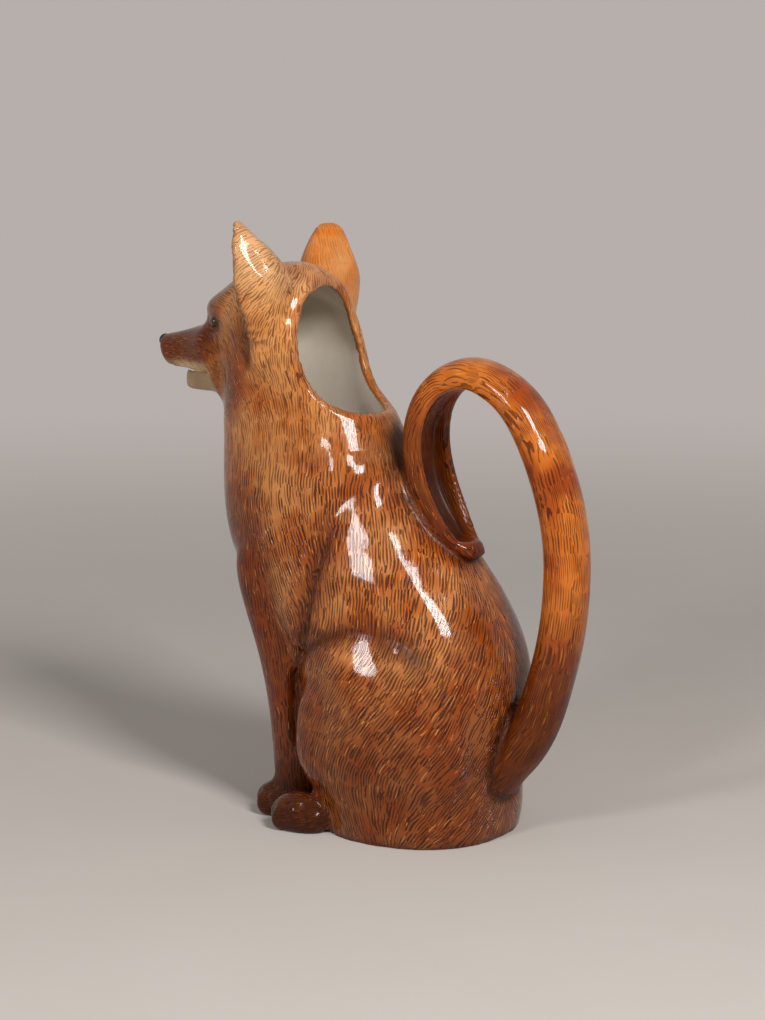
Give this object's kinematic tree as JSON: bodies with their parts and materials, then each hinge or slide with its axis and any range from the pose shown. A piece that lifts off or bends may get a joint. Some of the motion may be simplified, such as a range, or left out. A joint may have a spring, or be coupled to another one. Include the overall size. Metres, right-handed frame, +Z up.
{
  "type": "figural carafe",
  "caption": "Glazed ceramic carafe shaped as a seated fox: filled through an opening behind the head, poured from the open mouth and lifted by its looped tail.",
  "frame": {"origin": "middle of the flat foot, on the surface that the carafe stands on", "axes": "+Z up; the fox looks along -X and its own left side is -Y; the tail is on the +X side"},
  "size_m": [0.2328, 0.099, 0.2806],
  "materials": {
    "caramel_fur_glaze": "gloss, hand-painted red-brown hair strokes over caramel, off-white inside",
    "tail_glaze": "gloss, orange-brown with fine lengthwise strokes",
    "muzzle_glaze": "gloss, brown with short fine strokes",
    "paw_glaze": "gloss, dark brown",
    "jaw_glaze": "gloss, cream",
    "nose_glaze": "gloss, near black",
    "eye_glaze": "gloss, amber with a dark pupil",
    "bare_foot": "matt, unglazed pale biscuit"
  },
  "bodies": {
    "root": {"body_shell": "caramel_fur_glaze", "head_shell": "caramel_fur_glaze", "left_haunch": "caramel_fur_glaze", "right_haunch": "caramel_fur_glaze", "left_foreleg": "caramel_fur_glaze", "right_foreleg": "caramel_fur_glaze", "left_ear": "caramel_fur_glaze", "right_ear": "caramel_fur_glaze", "muzzle": "muzzle_glaze", "lower_jaw": "jaw_glaze", "nose": "nose_glaze", "left_eye": "eye_glaze", "right_eye": "eye_glaze", "tail_handle": "tail_glaze", "left_forepaw": "paw_glaze", "right_forepaw": "paw_glaze", "left_hind_paw": "paw_glaze", "right_hind_paw": "paw_glaze", "foot_slab": "bare_foot"}
  },
  "joints": []
}
